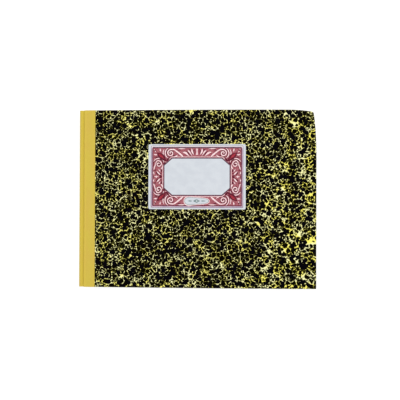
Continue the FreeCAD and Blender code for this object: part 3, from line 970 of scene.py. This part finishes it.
def print_scrolls():
    """Pale scrolls in each quarter and a palmette over the panel, each with a shaded edge."""
    pale = Ink("print_scrolls", INK_PALE)
    shade = Ink("print_shading", INK_SHADE)

    def scroll(path, width, mirrors=QUARTERS):
        shade.stroke(path, np.asarray(width) + 0.75, mirrors)
        pale.stroke(path, width, mirrors)

    coil = spiral(UPPER_COIL, 1.45, 0.4, 3.2, start=-60)
    arm = [(20.4, 23.7), (18.0, 22.3), (15.4, 20.3), (13.4, 18.6), (12.0, 17.4)]
    path = curve([*coil[::4], *arm])
    n = len(path)
    scroll(path, np.interp(np.arange(n), [0, 70, n - 9, n], [0.8, 0.95, 1.5, 0.2]))
    coil = spiral(LOWER_COIL, -1.4, 0.4, 3.2, start=170)
    path = curve([*coil[::4], (36.9, 8.6), (37.6, 6.2)])
    scroll(path, 0.85)
    for path, width in (
        (arc(UPPER_COIL, 4.9, 62, -62), 1.0),
        (arc(UPPER_COIL, 6.7, 30, -50), 0.9),
        (arc(LOWER_COIL, 4.9, 22, 165), 0.9),
        (arc(LOWER_COIL, 6.6, 88, 150), 0.9),
    ):
        scroll(path, swelling(path, width, tip=0.4))
    for points, width in (
        ([(31.6, 21.8), (32.0, 23.2), (32.2, 24.6)], 1.2),
        ([(34.6, 19.2), (36.0, 19.1), (37.8, 19.3)], 1.2),
        ([(35.8, 21.2), (36.6, 22.4), (37.4, 24.2)], 1.0),
        ([(16.6, 24.3), (13.4, 24.4), (9.8, 24.2)], 0.9),
        ([(20.6, 16.9), (18.4, 17.6), (16.6, 19.0)], 1.0),
        ([(29.8, 9.2), (30.4, 7.8), (31.4, 6.4)], 1.0),
        ([(31.9, 4.2), (32.6, 5.4), (33.4, 6.6)], 0.9),
        ([(31.8, 1.4), (33.4, 3.0), (35.0, 4.8)], 1.2),
        ([(37.6, 4.6), (37.7, 3.2), (37.2, 1.8)], 0.9),
    ):
        path = curve(points)
        scroll(path, swelling(path, width))
    for points, width in (
        ([(4.6, 24.6), (4.3, 22.2), (2.9, 18.9)], 1.5),
        ([(8.2, 23.2), (6.6, 21.6), (4.4, 18.2)], 1.2),
        ([(12.6, 21.4), (9.8, 20.6), (7.0, 18.0)], 1.7),
    ):
        path = curve(points)
        scroll(path, swelling(path, width), SIDES)
    pale.ring(inset(PANEL_BORDER, -0.35), inset(PANEL_BORDER, -0.8))
    path = np.linspace((0, 24.3), (0, 19.0), 12)
    scroll(path, 1.7 - 0.6 * np.sin(np.linspace(0, math.pi, 12)), ((1, 1),))
    star = np.array([(33.4, 0.0), (34.9, 0.0), (35.4, 0.0), (35.9, 0.0), (37.4, 0.0)])
    scroll(star, np.array([0.1, 1.0, 2.4, 1.0, 0.1]), SIDES)
    shade.done()
    pale.done()


def print_accents():
    """Deep red leaves in the corners, dark touches between the scrolls and the top line."""
    deep = Ink("print_accents", INK_DEEP)
    for path in (
        spiral(UPPER_COIL, 1.2, 0.1, 2.6, start=120),
        spiral(LOWER_COIL, -1.2, 0.1, 2.6, start=350),
        arc(UPPER_COIL, 4.05, 60, -60),
        arc(LOWER_COIL, 4.05, 24, 165),
        arc(LOWER_COIL, 5.75, 60, 150),
    ):
        deep.stroke(path, swelling(path, 0.75, tip=0.5), QUARTERS)
    for points, width, belly in (
        ([(26.0, 12.6), (28.6, 15.4), (31.4, 18.0), (35.0, 21.2)], 4.8, 0.6),
        ([(23.6, 17.0), (25.2, 15.2), (26.6, 13.2)], 1.8, 0.6),
        ([(27.2, 12.5), (28.8, 11.4), (29.3, 9.6)], 1.5, 0.4),
        ([(30.0, 14.4), (29.9, 13.0), (30.0, 11.6)], 0.9, 0.5),
        ([(37.9, 13.8), (38.2, 11.2), (38.0, 8.8)], 0.9, 0.5),
        ([(33.4, 16.7), (35.4, 17.2), (37.4, 16.6)], 0.9, 0.5),
        ([(30.5, 6.6), (30.9, 5.2), (30.8, 3.8)], 1.3, 0.5),
        ([(33.4, 1.5), (34.6, 2.6), (35.8, 4.2)], 1.3, 0.5),
        ([(36.5, 6.8), (36.6, 5.6), (36.2, 4.4)], 1.3, 0.5),
        ([(30.4, 0.3), (32.0, 0.7), (33.0, 1.3)], 1.5, 0.4),
        ([(30.4, 3.3), (31.3, 2.8), (32.4, 2.7)], 0.9, 0.5),
        ([(37.6, 0.5), (38.0, 0.4), (38.5, 0.3)], 0.7, 0.5),
        ([(35.8, 23.4), (36.6, 23.0), (37.2, 22.0)], 1.1, 0.5),
        ([(20.8, 19.3), (20.2, 18.4), (19.2, 17.9)], 1.0, 0.5),
        ([(17.4, 22.9), (16.0, 23.2), (14.2, 23.2)], 0.9, 0.5),
        ([(24.8, 18.0), (23.6, 17.2), (22.4, 17.0)], 0.9, 0.5),
    ):
        path = curve(points)
        deep.stroke(path, swelling(path, width, belly=belly), QUARTERS)
    for points, width in (
        ([(1.7, 24.6), (2.6, 22.8), (2.7, 21.0), (1.8, 19.2)], 0.9),
        ([(7.6, 24.4), (6.2, 23.6), (5.4, 22.0)], 0.9),
        ([(9.4, 22.2), (7.4, 20.6), (5.2, 18.0)], 0.9),
    ):
        path = curve(points)
        deep.stroke(path, swelling(path, width), SIDES)
    deep.ring(inset(FIELD, 0.7), FIELD)
    deep.done()

    bright = Ink("print_leaf_veins", INK_RED)
    path = curve([(28.4, 15.4), (31.0, 17.8), (33.6, 20.0)])
    bright.stroke(path, swelling(path, 2.0, belly=0.6), QUARTERS)
    bright.done()


def plaque_outline(reach):
    """A small plaque: a round end on the left that runs into a flat lens on the right."""
    angles = np.linspace(0, 2 * math.pi, 48, endpoint=False)
    across, along = np.cos(angles), np.sin(angles)
    half_width, half_height = PLAQUE_HALF_SIZE
    half_height = half_height - 0.7 * np.tanh(3 * across + 0.9)
    x = half_width * np.sign(across) * np.abs(across) ** 0.75
    y = half_height * np.sign(along) * np.abs(along) ** 0.8
    return np.column_stack([x, y]) * (1 + reach / PLAQUE_HALF_SIZE) + PLAQUE_CENTRE


def print_plaque():
    """The plaque under the panel, with a lozenge between two dashes."""
    for name, material, reach in (
        ("print_plaque_edge", INK_PALE, 1.1),
        ("print_plaque_outline", INK_GREEN, 0.45),
        ("print_plaque", LABEL, 0.0),
    ):
        part = Ink(name, material)
        outline = plaque_outline(reach)
        part.ring(PLAQUE_CENTRE + (outline - PLAQUE_CENTRE) * PLAQUE_HUB, outline, rows=9)
        part.done()
    mark = Ink("print_lozenge", INK_GREEN)
    lozenge = np.array([(3.2, 0.0), (0.0, 1.7), (-3.2, 0.0), (0.0, -1.7)])
    mark.ring(PLAQUE_CENTRE + lozenge * 0.35, PLAQUE_CENTRE + lozenge)
    for side in (-1, 1):
        dash = PLAQUE_CENTRE + np.linspace((3.9 * side, 0), (8.0 * side, 0), 14)
        mark.stroke(dash, swelling(dash, 1.1, belly=0.35))
    mark.done()


print_field()
print_scrolls()
print_accents()
print_plaque()


# Floor, light and camera

FLOOR_REACH = 6.0
FLOOR_Z = -0.0002  # just under the book
CAMERA_PLACE = (0.02361, -0.00514, 0.49614)
CAMERA_TURN = (0.5, 2.424, 0.214)  # degrees


def seen_directly(tree):
    """1 for the rays that show a background: the camera's own, reflected and refracted ones."""
    rays = add_node(tree, "LightPath").outputs
    shown = rays["Is Camera Ray"]
    for ray in ("Is Glossy Ray", "Is Transmission Ray"):
        shown = add_node(tree, "Math", {0: shown, 1: rays[ray]}, operation="MAXIMUM").outputs[0]
    return shown


def white_floor():
    """A floor that stays white in the picture and keeps part of the book's shadow."""
    material = bpy.data.materials.new("white_floor")
    material.use_nodes = True
    tree = material.node_tree
    tree.nodes.clear()
    lit = add_node(tree, "BsdfDiffuse", {"Color": (0.8, 0.8, 0.8, 1.0)}).outputs[0]
    shaded = add_node(tree, "BsdfDiffuse", {"Color": (0.32, 0.32, 0.32, 1.0)}).outputs[0]
    glow = add_node(tree, "Emission", {"Strength": 0.82}).outputs[0]
    seen = add_node(tree, "AddShader", {0: shaded, 1: glow}).outputs[0]
    both = add_node(tree, "MixShader", {0: seen_directly(tree), 1: lit, 2: seen}).outputs[0]
    add_node(tree, "OutputMaterial", {"Surface": both})
    return material


def floor():
    mesh = bpy.data.meshes.new("floor")
    corners = ((-1, -1), (1, -1), (1, 1), (-1, 1))
    corners = [(x * FLOOR_REACH, y * FLOOR_REACH, FLOOR_Z) for x, y in corners]
    mesh.from_pydata(corners, [], [(0, 1, 2, 3)])
    mesh.materials.append(white_floor())
    linked("floor", mesh)


def lamp(name, place, power, size):
    """A square lamp that points at the book."""
    light = bpy.data.lights.new(name, "AREA")
    light.energy = power
    light.size = size
    piece = linked(name, light)
    piece.location = place
    piece.rotation_euler = (-Vector(place)).to_track_quat("-Z", "Y").to_euler()


def lights():
    """A white sky, which lights the book at half its strength, and two soft lamps."""
    world = bpy.data.worlds.new("studio")
    world.use_nodes = True
    tree = world.node_tree
    sky = tree.nodes["Background"].inputs
    sky["Color"].default_value = (1.0, 1.0, 1.0, 1.0)
    values = {"Value": seen_directly(tree), "To Min": 0.5, "To Max": 1.0}
    put(sky["Strength"], add_node(tree, "MapRange", values).outputs[0])
    bpy.context.scene.world = world
    lamp("soft_light_left", (-1.0, 0.5, 1.1), power=8.0, size=0.9)
    lamp("soft_light_right", (1.0, 0.3, 1.1), power=11.2, size=0.9)


def camera():
    """Above the book, as a copy stand holds it."""
    lens = bpy.data.cameras.new("camera")
    lens.lens = 50.0
    lens.sensor_width = 36.0
    lens.clip_start = 0.01
    piece = linked("camera", lens)
    piece.location = CAMERA_PLACE
    piece.rotation_euler = Euler(np.radians(CAMERA_TURN))
    bpy.context.scene.camera = piece


floor()
lights()
camera()
bpy.context.scene.view_settings.view_transform = "Standard"
